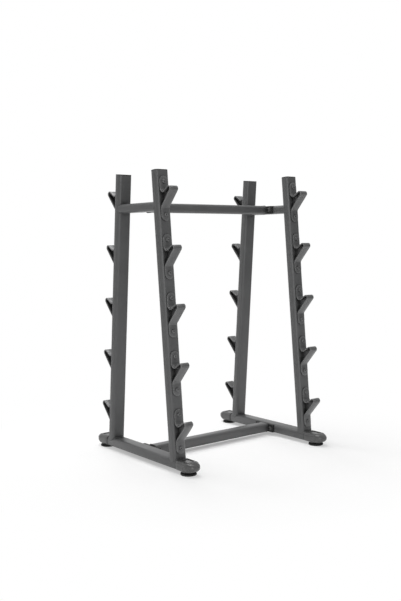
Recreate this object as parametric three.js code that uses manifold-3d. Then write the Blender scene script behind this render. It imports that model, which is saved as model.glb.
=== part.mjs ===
import * as THREE from 'three';
import { mergeVertices } from 'three/addons/utils/BufferGeometryUtils.js';
import Module from 'manifold-3d';

// Two-sided barbell storage rack: two A-shaped side frames joined by two cross beams,
// with five bar hooks on each of the four uprights.
// Millimetres, +Z up. Bars lie along X. The front is -Y.
// The origin is on the floor at the centre of the rack.

const wasm = await Module();
wasm.setup();

// Overall frame
const overallHeight = 1500;
const overallDepth = 880;
const sideSpacing = 897;
const uprightFromNoseLength = 148.5;
const uprightTopY = 164;
const seatGap = 0.3;
const cutOverrun = 5;

// Side frame tube, used flat for the rails and on edge for the uprights
const tubeWidth = 80;
const tubeDepth = 50;
const tubeCornerRadius = 17;
const tubeWall = 3;

// Side brace and cross beams
const braceHeight = 46;
const braceToTopHeight = 181;
const topBeamDepth = 60;
const topBeamHeight = 49;
const bottomBeamDepth = 64;
const bottomBeamHeight = 52;
const beamCornerRadius = 15;
const beamWall = 3;

// Joint saddles between beams and side frames
const saddleLength = 148;
const saddleHeight = 44;
const saddlePlate = 8;
const saddleLip = 9;
const saddleCornerRadius = 2;

// Saddle bolts
const boltFromSaddleEnd = 20;
const boltShankRadius = 6;
const boltHoleClearance = 0.5;
const boltWasherRadius = 14;
const boltWasherHeight = 2.5;
const boltHeadRadius = 10.5;
const boltHeadHeight = 7;
const boltHeadCrownRadius = 7;
const boltSocketRadius = 4.6;
const boltSocketDepth = 4;
const boltReach = 12;

// Rail end caps
const capLength = 122;
const capNeckLength = 3;
const capNeckInset = 2;
const noseDepth = 40;
const noseSideRadius = 34;
const noseEdgeRadius = 24.5;
const capBossRadius = 37;
const capBossHeight = 6;
const capSpigotLength = 26;
const capFitClearance = 0.4;
const capRecessWidth = 50;
const capRecessLength = 60;
const capRecessDepth = 1.8;
const capRecessCornerRadius = 6;
const capRecessFromSeam = 20;

// Feet
const footFromNoseLength = 66;
const footHeight = 10;
const footRadius = 40.5;
const footEdgeChamfer = 2;
const footScrewHeadRadius = 8.5;
const footScrewHeadHeight = 4;
const footScrewRecess = 6;
const footScrewRadius = 5;
const footScrewReach = 24;
const footScrewSocketRadius = 3.5;
const footScrewSocketDepth = 2.5;

// Upright end caps
const lidThickness = 4;
const lidEdgeChamfer = 1;
const lidPlugLength = 18;

// Bar hooks: one bent strap with a gusset web; u points out of the upright's face and v up along it
const hooksPerUpright = 5;
const lowestHookZ = 252;
const highestHookToTopHeight = 92;
const strapWidth = 50;
const strapThickness = 6;
const tabTopV = 58;
const tabBottomV = -165;
const upperBoltV = 30;
const lowerBoltV = -135;
const valleyRadius = 22;
const valleyCentreV = -2;
const foldRadius = 12;
const foldCentreU = 73;
const foldCentreV = -15;
const bendRadius = 20;
const bendCentreV = -107;
const webThickness = 6;
const webTopV = -31;
const webFoldRelief = 15;
const hookBoltRadius = 11;
const hookBoltHeight = 6.5;
const hookBoltRimHeight = 2.5;
const hookBoltCrownRadius = 7;

// Facet counts
const cornerFacets = 4;
const smallCornerFacets = 2;
const tabFacets = 4;
const footFacets = 20;
const boltFacets = 10;
const hookBoltFacets = 8;
const hexFacets = 6;
const valleyFacets = 5;
const foldFacets = 6;
const bendFacets = 2;
const noseFacets = 5;

// A corner is rounded to at most this share of half the tube's smaller side
const cornerLimitShare = 0.98;

// Places worked out from the sizes above
const halfSpacing = sideSpacing / 2;
const capNoseY = overallDepth / 2;
const railSeamY = capNoseY - capLength;
const footY = capNoseY - footFromNoseLength;
const uprightFootY = capNoseY - uprightFromNoseLength;
const lean = Math.atan((uprightFootY - uprightTopY) / overallHeight);
const railZ = footHeight + seatGap + capBossHeight + tubeDepth / 2;
const braceZ = overallHeight - braceToTopHeight;
const braceEndY = uprightFootY - braceZ * Math.tan(lean);
const uprightTop = overallHeight / Math.cos(lean);
const hookPitch = (overallHeight - highestHookToTopHeight - lowestHookZ) / (hooksPerUpright - 1);
const boltY = saddleLength / 2 - boltFromSaddleEnd;

// Finishes seen on the rack
function finish(color, roughness, metalness) {
  return new THREE.MeshStandardMaterial({ color, roughness, metalness });
}

const charcoalCoat = finish(0x56585a, 0.55, 0.35);
const hookCoat = finish(0x5c5e60, 0.5, 0.35);
const blackCast = finish(0x1c1d1e, 0.6, 0.1);
const blackPlastic = finish(0x2b2c2e, 0.65, 0);
const capPlastic = finish(0x505254, 0.55, 0.05);
const blackRubber = finish(0x161617, 0.85, 0);
const boltSteel = finish(0x6b6d70, 0.4, 0.8);

// A closed geometry becomes a solid once only its positions are left and shared corners are merged
function solidOf(geometry) {
  const bare = geometry.clone();
  bare.deleteAttribute('normal');
  bare.deleteAttribute('uv');
  const merged = mergeVertices(bare);
  return new wasm.Manifold(new wasm.Mesh({
    numProp: 3,
    vertProperties: new Float32Array(merged.attributes.position.array),
    triVerts: new Uint32Array(merged.index.array),
  }));
}

function geometryOf(solid) {
  const mesh = solid.getMesh();
  const geometry = new THREE.BufferGeometry();
  geometry.setAttribute('position', new THREE.BufferAttribute(new Float32Array(mesh.vertProperties), 3));
  geometry.setIndex(new THREE.BufferAttribute(new Uint32Array(mesh.triVerts), 1));
  const faceted = geometry.toNonIndexed();
  faceted.computeVertexNormals();
  return faceted;
}

// Points along an arc, both ends included, angles in degrees
function arcPoints(centreX, centreY, radius, startAngle, endAngle, facets) {
  const points = [];
  for (let step = 0; step <= facets; step += 1) {
    const angle = THREE.MathUtils.degToRad(startAngle + (endAngle - startAngle) * step / facets);
    points.push(new THREE.Vector2(centreX + radius * Math.cos(angle), centreY + radius * Math.sin(angle)));
  }
  return points;
}

// Corner points of a rounded rectangle centred on the origin
function roundedOutline(width, height, radius, facets) {
  const x = width / 2 - radius;
  const y = height / 2 - radius;
  return [
    ...arcPoints(x, y, radius, 0, 90, facets),
    ...arcPoints(-x, y, radius, 90, 180, facets),
    ...arcPoints(-x, -y, radius, 180, 270, facets),
    ...arcPoints(x, -y, radius, 270, 360, facets),
  ];
}

// An outline, with an optional bore, pushed along +Z from zero
function extrusion(outline, length, bore = null) {
  const shape = new THREE.Shape(outline);
  if (bore) shape.holes.push(new THREE.Path(bore));
  return new THREE.ExtrudeGeometry(shape, { depth: length, bevelEnabled: false, steps: 1 });
}

// A tube's corner radius, limited by its own depth
function cornerRadius(width, height, radius) {
  return Math.min(radius, cornerLimitShare * Math.min(width, height) / 2);
}

// A tube with rounded corners along +Z, centred on its length
function tube(width, height, radius, wall, length) {
  const corner = cornerRadius(width, height, radius);
  const outer = roundedOutline(width, height, corner, cornerFacets);
  const inner = roundedOutline(width - 2 * wall, height - 2 * wall, corner - wall, cornerFacets);
  return extrusion(outer, length, inner).translate(0, 0, -length / 2);
}

// The space that a tube takes from its neighbour, with the seat gap all round
function envelope(width, height, radius, length) {
  const gaps = 2 * seatGap;
  const corner = cornerRadius(width, height, radius) + seatGap;
  const outline = roundedOutline(width + gaps, height + gaps, corner, cornerFacets);
  return extrusion(outline, length).translate(0, 0, -length / 2);
}

// Sections are drawn across X and Z and run along Y
const alongY = new THREE.Matrix4().makeRotationX(Math.PI / 2);
// Sections are drawn across Y and Z and run along X
const alongX = new THREE.Matrix4().makeBasis(
  new THREE.Vector3(0, 1, 0),
  new THREE.Vector3(0, 0, 1),
  new THREE.Vector3(1, 0, 0),
);

// From the corner's upright frame to the floor frame: the axis starts at the foot and leans inwards
const uprightFrame = new THREE.Matrix4()
  .makeTranslation(0, -uprightFootY, 0)
  .multiply(new THREE.Matrix4().makeRotationX(-lean));

function railEnvelope() {
  const length = 2 * (railSeamY + cutOverrun);
  return envelope(tubeWidth, tubeDepth, tubeCornerRadius, length)
    .applyMatrix4(alongY)
    .translate(0, 0, railZ);
}

function braceEnvelope() {
  const length = 2 * uprightFootY;
  return envelope(tubeWidth, braceHeight, tubeCornerRadius, length)
    .applyMatrix4(alongY)
    .translate(0, 0, braceZ);
}

// Round bars along +X, for the bolt holes through a saddle and the tube wall behind it
function boltHole(y, z) {
  const radius = boltShankRadius + boltHoleClearance;
  const length = tubeWidth / 2 + saddlePlate + cutOverrun;
  return new THREE.CylinderGeometry(radius, radius, length, boltFacets)
    .rotateZ(Math.PI / 2)
    .translate(length / 2, y, z);
}

function drillForBolts(solid, z) {
  return solid.subtract(solidOf(boltHole(boltY, z))).subtract(solidOf(boltHole(-boltY, z)));
}

// Base rail: a flat tube along Y, drilled on its inner side for the saddle bolts
function baseRail() {
  const bar = tube(tubeWidth, tubeDepth, tubeCornerRadius, tubeWall, 2 * railSeamY)
    .applyMatrix4(alongY)
    .translate(0, 0, railZ);
  return geometryOf(drillForBolts(solidOf(bar), railZ));
}

// Upright: drawn along its own axis and coped over the rail's rounded top
function upright() {
  const startZ = railZ / Math.cos(lean);
  const length = uprightTop - lidThickness - seatGap - startZ;
  const bar = tube(tubeWidth, tubeDepth, tubeCornerRadius, tubeWall, length)
    .translate(0, 0, startZ + length / 2);
  const rail = railEnvelope().applyMatrix4(uprightFrame.clone().invert());
  return geometryOf(solidOf(bar).subtract(solidOf(rail)));
}

// Side brace: coped at both ends to wrap the rounded sides of the two uprights
function sideBrace() {
  const bar = tube(tubeWidth, braceHeight, tubeCornerRadius, tubeWall, 2 * braceEndY)
    .applyMatrix4(alongY)
    .translate(0, 0, braceZ);
  let solid = solidOf(bar);
  for (const turn of [0, Math.PI]) {
    const post = envelope(tubeWidth, tubeDepth, tubeCornerRadius, 2 * overallHeight)
      .applyMatrix4(uprightFrame)
      .rotateZ(turn);
    solid = solid.subtract(solidOf(post));
  }
  return geometryOf(drillForBolts(solid, braceZ));
}

// Cross beam along X between the outer faces of two saddles
function crossBeam(depth, height) {
  const length = sideSpacing - 2 * (tubeWidth / 2 + saddlePlate + seatGap);
  return tube(depth, height, beamCornerRadius, beamWall, length).applyMatrix4(alongX);
}

// Joint saddle: a plate on the inner side of a tube, with lips that reach back along its rounded shoulders
function saddle(tubeSpace, z) {
  const outline = roundedOutline(saddleLength, saddleHeight, saddleCornerRadius, smallCornerFacets);
  const block = extrusion(outline, saddlePlate + saddleLip)
    .applyMatrix4(alongX)
    .translate(tubeWidth / 2 - saddleLip, 0, z);
  return geometryOf(drillForBolts(solidOf(block).subtract(solidOf(tubeSpace)), z));
}

// Turned profile about +Z
function turned(profile, facets) {
  const points = profile.map(([radius, z]) => new THREE.Vector2(radius, z));
  return new THREE.LatheGeometry(points, facets).rotateX(Math.PI / 2);
}

// Saddle bolt along -X: socket, crowned head and washer outside the saddle, shank through the tube wall
function saddleBolt() {
  const headTop = boltWasherHeight + boltHeadHeight;
  const profile = [
    [0, headTop],
    [boltHeadCrownRadius, headTop],
    [boltHeadRadius, boltWasherHeight + boltHeadHeight / 2],
    [boltHeadRadius, boltWasherHeight],
    [boltWasherRadius, boltWasherHeight],
    [boltWasherRadius, 0],
    [boltShankRadius, 0],
    [boltShankRadius, -saddlePlate - boltReach],
    [0, -saddlePlate - boltReach],
  ].reverse();
  const depth = 2 * boltSocketDepth;
  const socket = new THREE.CylinderGeometry(boltSocketRadius, boltSocketRadius, depth, hexFacets)
    .rotateX(Math.PI / 2)
    .translate(0, 0, headTop);
  const bolt = solidOf(turned(profile, boltFacets)).subtract(solidOf(socket));
  return geometryOf(bolt).applyMatrix4(alongX);
}

// Joins rings of equal point counts along +Z and closes both ends
function loft(rings) {
  const outlines = rings.map((ring) => roundedOutline(ring.width, ring.height, ring.radius, cornerFacets)
    .map((point) => [point.x, point.y, ring.at]));
  const count = outlines[0].length;
  const index = [];
  for (let ring = 0; ring + 1 < outlines.length; ring += 1) {
    for (let side = 0; side < count; side += 1) {
      const here = ring * count + side;
      const next = ring * count + (side + 1) % count;
      index.push(here, next, here + count, next, next + count, here + count);
    }
  }
  const last = (outlines.length - 1) * count;
  for (let side = 1; side + 1 < count; side += 1) {
    index.push(0, side + 1, side);
    index.push(last, last + side, last + side + 1);
  }
  const geometry = new THREE.BufferGeometry();
  geometry.setAttribute('position', new THREE.Float32BufferAttribute(outlines.flat(2), 3));
  geometry.setIndex(index);
  return geometry;
}

// Rail end cap: a spigot in the tube, a narrow neck at the seam, a body of the rail's section,
// a round boss for the foot and a rounded nose
function railCap() {
  const noseStart = capNoseY - noseDepth;
  const seam = railSeamY + seatGap;
  const neck = {
    width: tubeWidth - 2 * capNeckInset,
    height: tubeDepth - 2 * capNeckInset,
    radius: tubeCornerRadius - capNeckInset,
  };
  const rings = [
    { at: seam, ...neck },
    { at: seam + capNeckLength, ...neck },
    { at: seam + capNeckLength, width: tubeWidth, height: tubeDepth, radius: tubeCornerRadius },
  ];
  for (let step = 0; step <= noseFacets; step += 1) {
    const angle = Math.PI / 2 * step / noseFacets;
    const drop = 1 - Math.cos(angle);
    const height = tubeDepth - 2 * noseEdgeRadius * drop;
    rings.push({
      at: noseStart + noseDepth * Math.sin(angle),
      width: tubeWidth - 2 * noseSideRadius * drop,
      height,
      radius: tubeCornerRadius * height / tubeDepth,
    });
  }
  const body = loft(rings).applyMatrix4(alongY).translate(0, 0, railZ);
  return geometryOf(solidOf(body)
    .add(solidOf(capSpigot()))
    .add(solidOf(capBoss()))
    .subtract(solidOf(capRecess()))
    .subtract(solidOf(capScrewHole())));
}

function capSpigot() {
  const shrink = 2 * (tubeWall + capFitClearance);
  const radius = tubeCornerRadius - tubeWall - capFitClearance;
  const outline = roundedOutline(tubeWidth - shrink, tubeDepth - shrink, radius, cornerFacets);
  return extrusion(outline, capSpigotLength + cutOverrun)
    .applyMatrix4(alongY)
    .translate(0, -railSeamY + capSpigotLength, railZ);
}

// Round boss under the cap, which stands on the foot
function capBoss() {
  const height = capBossHeight + tubeDepth / 2;
  return new THREE.CylinderGeometry(capBossRadius, capBossRadius, height, footFacets)
    .rotateX(Math.PI / 2)
    .translate(0, -footY, railZ - height / 2);
}

function capRecess() {
  const outline = roundedOutline(capRecessWidth, capRecessLength, capRecessCornerRadius, smallCornerFacets);
  const centreY = railSeamY + capRecessFromSeam + capRecessLength / 2;
  const floorZ = railZ + tubeDepth / 2 - capRecessDepth;
  return extrusion(outline, capRecessDepth + cutOverrun).translate(0, -centreY, floorZ);
}

function capScrewHole() {
  const radius = footScrewRadius + boltHoleClearance;
  return new THREE.CylinderGeometry(radius, radius, 2 * (footScrewReach + seatGap), boltFacets)
    .rotateX(Math.PI / 2)
    .translate(0, -footY, footHeight + seatGap);
}

// Foot: a turned rubber disc under the cap's boss, with a counterbored screw hole
function foot() {
  const bore = footScrewRadius + boltHoleClearance;
  const counterbore = footScrewHeadRadius + boltHoleClearance;
  const profile = [
    [bore, footHeight],
    [bore, footScrewRecess],
    [counterbore, footScrewRecess],
    [counterbore, 0],
    [footRadius - footEdgeChamfer, 0],
    [footRadius, footEdgeChamfer],
    [footRadius, footHeight - footEdgeChamfer],
    [footRadius - footEdgeChamfer, footHeight],
    [bore, footHeight],
  ];
  return turned(profile, footFacets);
}

// Foot screw: head in the counterbore, shank up through the foot into the cap
function footScrew() {
  const headTop = footScrewRecess - seatGap;
  const headBottom = headTop - footScrewHeadHeight;
  const profile = [
    [0, headBottom],
    [footScrewHeadRadius, headBottom],
    [footScrewHeadRadius, headTop],
    [footScrewRadius, headTop],
    [footScrewRadius, footHeight + footScrewReach],
    [0, footHeight + footScrewReach],
  ];
  const socket = new THREE.CylinderGeometry(
    footScrewSocketRadius,
    footScrewSocketRadius,
    2 * footScrewSocketDepth,
    hexFacets,
  ).rotateX(Math.PI / 2).translate(0, 0, headBottom);
  return geometryOf(solidOf(turned(profile, boltFacets)).subtract(solidOf(socket)));
}

// Upright end cap: a thin lid with a chamfered rim, on a plug that fits the tube's bore
function uprightCap() {
  const shrink = 2 * (tubeWall + capFitClearance);
  const plugRadius = tubeCornerRadius - tubeWall - capFitClearance;
  const plugOutline = roundedOutline(tubeWidth - shrink, tubeDepth - shrink, plugRadius, cornerFacets);
  const plug = extrusion(plugOutline, lidPlugLength + lidThickness / 2).translate(0, 0, -lidPlugLength);
  const width = tubeWidth - 2 * lidEdgeChamfer;
  const depth = tubeDepth - 2 * lidEdgeChamfer;
  const lid = loft([
    { at: 0, width: tubeWidth, height: tubeDepth, radius: tubeCornerRadius },
    { at: lidThickness - lidEdgeChamfer, width: tubeWidth, height: tubeDepth, radius: tubeCornerRadius },
    { at: lidThickness, width, height: depth, radius: tubeCornerRadius - lidEdgeChamfer },
  ]);
  return geometryOf(solidOf(plug).add(solidOf(lid)));
}

// Direction, in degrees, of the straight strap that leaves one bend and joins the next on its other side
function crossTangent(fromU, fromV, toU, toV, radiusSum, turnSign) {
  const base = Math.atan2(toV - fromV, toU - fromU);
  const swing = Math.asin(radiusSum / Math.hypot(toU - fromU, toV - fromV));
  return THREE.MathUtils.radToDeg(base + turnSign * swing);
}

const valleyCentreU = strapThickness / 2 + valleyRadius;
const bendCentreU = strapThickness / 2 + bendRadius;
const riseAngle = crossTangent(
  valleyCentreU, valleyCentreV, foldCentreU, foldCentreV, valleyRadius + foldRadius, 1);
const diagonalAngle = crossTangent(
  foldCentreU, foldCentreV, bendCentreU, bendCentreV, foldRadius + bendRadius, -1);
const foldToBend = Math.hypot(foldCentreU - bendCentreU, foldCentreV - bendCentreV);
const diagonalLength = Math.sqrt(foldToBend ** 2 - (foldRadius + bendRadius) ** 2);

// One side of the strap from tab to tab, drawn at the given offset from its centre line
function strapSide(offset) {
  const faceU = strapThickness / 2 + offset;
  const foldStart = 90 + riseAngle;
  const foldEnd = 90 + diagonalAngle;
  return [
    new THREE.Vector2(faceU, tabTopV),
    ...arcPoints(valleyCentreU, valleyCentreV, valleyRadius - offset, 180, 180 + foldStart, valleyFacets),
    ...arcPoints(foldCentreU, foldCentreV, foldRadius + offset, foldStart, foldEnd, foldFacets),
    ...arcPoints(bendCentreU, bendCentreV, bendRadius - offset, 180 + foldEnd, 180, bendFacets),
    new THREE.Vector2(faceU, tabBottomV),
  ];
}

// A point on the strap's centre line, at a distance along the straight that touches the fold
function besideFold(angle, distance) {
  const around = THREE.MathUtils.degToRad(angle + 90);
  const along = THREE.MathUtils.degToRad(angle);
  return new THREE.Vector2(
    foldCentreU + foldRadius * Math.cos(around) + distance * Math.cos(along),
    foldCentreV + foldRadius * Math.sin(around) + distance * Math.sin(along),
  );
}

// The gusset fills the triangle between the upright, the valley and the diagonal, short of the fold
function webOutline() {
  return [
    new THREE.Vector2(strapThickness / 2, bendCentreV),
    besideFold(diagonalAngle, diagonalLength),
    besideFold(diagonalAngle, webFoldRelief),
    besideFold(riseAngle, -webFoldRelief),
    new THREE.Vector2(valleyCentreU, valleyCentreV - valleyRadius),
    new THREE.Vector2(0, webTopV),
    new THREE.Vector2(0, bendCentreV),
  ];
}

// Hook shapes are drawn across u and v and run along X: u leaves the front face, v follows the upright
const hookFrame = new THREE.Matrix4().makeBasis(
  new THREE.Vector3(0, -1, 0),
  new THREE.Vector3(0, 0, 1),
  new THREE.Vector3(-1, 0, 0),
);

function hookBoltHead(v) {
  const profile = [
    [0, -strapThickness / 2],
    [hookBoltRadius, -strapThickness / 2],
    [hookBoltRadius, hookBoltRimHeight],
    [hookBoltCrownRadius, hookBoltHeight],
    [0, hookBoltHeight],
  ];
  return turned(profile, hookBoltFacets)
    .rotateX(Math.PI / 2)
    .translate(0, -strapThickness, v);
}

// Bar hook: bent strap with rounded tabs, central gusset and two bolt heads
function barHook() {
  const outline = [...strapSide(strapThickness / 2), ...strapSide(-strapThickness / 2).reverse()];
  const strap = extrusion(outline, strapWidth)
    .translate(0, 0, -strapWidth / 2)
    .applyMatrix4(hookFrame);
  const tabLength = tabTopV - tabBottomV;
  const reach = foldCentreU + foldRadius + strapThickness + cutOverrun;
  const face = roundedOutline(strapWidth, tabLength, strapWidth / 2, tabFacets);
  const blank = extrusion(face, reach + cutOverrun)
    .rotateX(Math.PI / 2)
    .translate(0, cutOverrun, (tabTopV + tabBottomV) / 2);
  const web = extrusion(webOutline(), webThickness)
    .translate(0, 0, -webThickness / 2)
    .applyMatrix4(hookFrame);
  return geometryOf(solidOf(strap)
    .intersect(solidOf(blank))
    .add(solidOf(web))
    .add(solidOf(hookBoltHead(upperBoltV)))
    .add(solidOf(hookBoltHead(lowerBoltV))));
}

// A named mesh at a place in its group
function piece(name, geometry, material, x = 0, y = 0, z = 0) {
  const mesh = new THREE.Mesh(geometry, material);
  mesh.name = name;
  mesh.position.set(x, y, z);
  return mesh;
}

// One corner of a side frame: upright with its cap and hooks, rail cap, foot and foot screw
function corner(place, shapes) {
  const group = new THREE.Group();
  const post = new THREE.Group();
  post.position.y = -uprightFootY;
  post.rotation.x = -lean;
  post.add(piece(`upright_${place}`, shapes.upright, charcoalCoat));
  post.add(piece(`upright_cap_${place}`, shapes.uprightCap, blackPlastic, 0, 0, uprightTop - lidThickness));
  for (let level = 0; level < hooksPerUpright; level += 1) {
    const height = (lowestHookZ + level * hookPitch) / Math.cos(lean);
    const faceY = -(tubeDepth / 2 + seatGap);
    post.add(piece(`hook_${place}_${level + 1}`, shapes.hook, hookCoat, 0, faceY, height));
  }
  group.add(post);
  group.add(piece(`rail_cap_${place}`, shapes.railCap, capPlastic));
  group.add(piece(`foot_${place}`, shapes.foot, blackRubber, 0, -footY, 0));
  group.add(piece(`foot_screw_${place}`, shapes.footScrew, boltSteel, 0, -footY, 0));
  return group;
}

// A saddle with its two bolts, on the inner side of a tube at the given height
function joint(place, saddleGeometry, boltGeometry, z) {
  const group = new THREE.Group();
  group.add(piece(`saddle_${place}`, saddleGeometry, blackCast));
  const faceX = tubeWidth / 2 + saddlePlate + seatGap;
  group.add(piece(`saddle_bolt_${place}_a`, boltGeometry, boltSteel, faceX, -boltY, z));
  group.add(piece(`saddle_bolt_${place}_b`, boltGeometry, boltSteel, faceX, boltY, z));
  return group;
}

const shapes = {
  upright: upright(),
  uprightCap: uprightCap(),
  hook: barHook(),
  railCap: railCap(),
  foot: foot(),
  footScrew: footScrew(),
};
const railShape = baseRail();
const braceShape = sideBrace();
const topSaddleShape = saddle(braceEnvelope(), braceZ);
const bottomSaddleShape = saddle(railEnvelope(), railZ);
const boltShape = saddleBolt();

const rack = new THREE.Group();
for (const [side, x, turn] of [['left', -halfSpacing, 0], ['right', halfSpacing, Math.PI]]) {
  const innerFace = new THREE.Group();
  innerFace.position.x = x;
  innerFace.rotation.z = turn;
  innerFace.add(piece(`base_rail_${side}`, railShape, charcoalCoat));
  innerFace.add(piece(`side_brace_${side}`, braceShape, charcoalCoat));
  innerFace.add(joint(`bottom_${side}`, bottomSaddleShape, boltShape, railZ));
  innerFace.add(joint(`top_${side}`, topSaddleShape, boltShape, braceZ));
  rack.add(innerFace);
  for (const [end, cornerTurn] of [['front', 0], ['rear', Math.PI]]) {
    const cornerGroup = corner(`${side}_${end}`, shapes);
    cornerGroup.position.x = x;
    cornerGroup.rotation.z = cornerTurn;
    rack.add(cornerGroup);
  }
}
rack.add(piece('bottom_beam', crossBeam(bottomBeamDepth, bottomBeamHeight), charcoalCoat, 0, 0, railZ));
rack.add(piece('top_beam', crossBeam(topBeamDepth, topBeamHeight), charcoalCoat, 0, 0, braceZ));

export default rack;
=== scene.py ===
"""Looks of a two-sided barbell storage rack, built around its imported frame.

Lengths are in metres. Bars lie along X, the front is -Y and +Z is up, as in the frame.
"""

import math

import bmesh
import bpy
from mathutils import Matrix, Vector


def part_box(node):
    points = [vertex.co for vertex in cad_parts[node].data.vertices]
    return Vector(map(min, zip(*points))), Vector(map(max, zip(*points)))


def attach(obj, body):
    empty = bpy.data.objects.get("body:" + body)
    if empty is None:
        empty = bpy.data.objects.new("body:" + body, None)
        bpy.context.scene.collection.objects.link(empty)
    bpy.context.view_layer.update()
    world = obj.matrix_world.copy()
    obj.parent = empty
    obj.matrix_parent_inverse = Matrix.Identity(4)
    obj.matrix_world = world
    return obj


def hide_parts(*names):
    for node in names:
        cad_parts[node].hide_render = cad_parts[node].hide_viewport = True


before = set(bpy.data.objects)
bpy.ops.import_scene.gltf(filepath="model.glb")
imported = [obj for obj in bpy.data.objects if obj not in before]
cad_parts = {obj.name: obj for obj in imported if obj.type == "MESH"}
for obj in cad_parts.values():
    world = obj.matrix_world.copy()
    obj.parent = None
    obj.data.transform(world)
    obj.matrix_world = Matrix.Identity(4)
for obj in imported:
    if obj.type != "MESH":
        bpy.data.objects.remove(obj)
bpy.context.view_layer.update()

MM = 0.001

# Distances for merging points and for telling edges apart
SAME_POINT = 0.001 * MM
CLOSE = 0.01 * MM
HAIR = 0.1 * MM

# Least part of a face's normal along an axis with which it counts as facing that way
FACING = 0.9

# Smoothness of the shapes
SMOOTH_BELOW_DEGREES = 35
SECTION_STEPS = 8
BOLT_STEPS = 24
FOOT_STEPS = 48

# Side frames
HEIGHT = 1500 * MM
UPRIGHT_FOOT_Y = 291.5 * MM
UPRIGHT_TOP_Y = 164 * MM
LEAN = math.atan((UPRIGHT_FOOT_Y - UPRIGHT_TOP_Y) / HEIGHT)
TUBE_CORNER = 17 * MM
TUBE_WALL = 3 * MM
RAIL_MOUTH_EDGE = 0.6 * MM
SEAT_GAP = 0.3 * MM

# Cross beams
BEAM_CORNER = 15 * MM

# Weld beads
FOOT_BEAD_RADIUS = 2.2 * MM
BRACE_BEAD_RADIUS = 1.8 * MM
BEAM_BEAD_RADIUS = 2.0 * MM
RIPPLE_SHARE = 0.12
RIPPLE_STEP = 2.4
BEAD_STEPS = 10

# Saddles
SADDLE_PLATE = 8 * MM
SADDLE_LIP = 9 * MM
SADDLE_CORNER = 2 * MM
SADDLE_EDGE = 1.2 * MM

# Bolts; a profile lists (radius, height) in millimetres, from the socket's rim to the shank's tip
SOCKET_RADIUS = 4.6 * MM
SOCKET_DEPTH = 4 * MM
SADDLE_BOLT_PROFILE = [
    (5.75, 9.5), (7.4, 9.5), (9.2, 8.7), (10.2, 7.2), (10.5, 5.8), (10.5, 2.5), (13.5, 2.5),
    (14, 2), (14, 0), (6, 0), (6, -19.5), (5.2, -20), (0, -20),
]
HOOK_BOLT_PROFILE = [
    (5.52, 6.5), (7.2, 6.4), (9.2, 5.4), (10.5, 3.8), (11, 2.2), (11, 0), (5, 0), (5, -5.5), (0, -5.5),
]
FOOT_SCREW_PROFILE = [
    (5.75, 0), (7.7, 0), (8.5, -0.8), (8.5, -4), (5, -4), (5, -31.5), (4.2, -32.3), (0, -32.3),
]
FOOT_SCREW_SUNK = 1.7 * MM

# Hooks: u points out of the upright's face and v up along it
HOOKS_PER_UPRIGHT = 5
LOWEST_HOOK_Z = 252 * MM
HIGHEST_HOOK_BELOW_TOP = 92 * MM
STRAP_WIDTH = 50 * MM
STRAP_THICKNESS = 6 * MM
STRAP_EDGE = 0.7 * MM
TAB_TOP_V = 58 * MM
TAB_BOTTOM_V = -165 * MM
TAB_STEPS = 12
UPPER_BOLT_V = 30 * MM
LOWER_BOLT_V = -135 * MM
VALLEY_RADIUS = 22 * MM
VALLEY_CENTRE = Vector((25 * MM, -2 * MM))
VALLEY_STEPS = 14
FOLD_RADIUS = 12 * MM
FOLD_CENTRE = Vector((73 * MM, -15 * MM))
FOLD_STEPS = 16
BEND_RADIUS = 20 * MM
BEND_CENTRE = Vector((23 * MM, -107 * MM))
BEND_STEPS = 6
WEB_THICKNESS = 6 * MM
WEB_EDGE = 0.5 * MM
WEB_STAND_OFF = 0.5 * MM
WEB_TOP_V = -31 * MM
WEB_FOLD_RELIEF = 15 * MM

# Rail end caps; the boss under the cap carries the foot
NECK_LENGTH = 3 * MM
NECK_INSET = 3.5 * MM
CAP_SWELL = 1.5 * MM
CAP_BACK_EDGE = 0.8 * MM
NOSE_DEPTH = 40 * MM
NOSE_SIDE_RADIUS = 34 * MM
NOSE_EDGE_RADIUS = 24.5 * MM
NOSE_RINGS = 12
NOSE_ROUNDNESS = 0.25
RECESS_RIM = 0.8 * MM
RECESS_LIP = 0.4 * MM
RECESS_LENGTH = 60 * MM
RECESS_DEPTH = 3.3 * MM
RECESS_CORNER = 6 * MM
RECESS_CORNER_STEPS = 5
RECESS_FROM_SEAM = 20 * MM
BOSS_PROFILE = [(0, 10.3), (28, 10.3), (31.4, 11), (34.2, 13), (36.2, 16), (37, 19.6), (37, 40), (0, 40)]

# Rubber feet: the closed outline starts in the screw hole and has the groove in its side
FOOT_PROFILE = [
    (5.5, 10), (5.5, 6), (9, 6), (9, 0), (38, 0), (39.6, 0.6), (40.4, 1.8), (40.5, 4.2),
    (39.9, 4.7), (39.9, 5.3), (40.5, 5.8), (40.5, 8), (39.8, 9.4), (38.4, 10),
]

# Lids of the uprights
LID_THICKNESS = 4 * MM
LID_EDGE = 1.2 * MM
PLUG_DEPTH = 18 * MM
PLUG_GAP = 0.4 * MM

# Floor
FLOOR_RADIUS = 3.2
FLOOR_STEPS = 64

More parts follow.
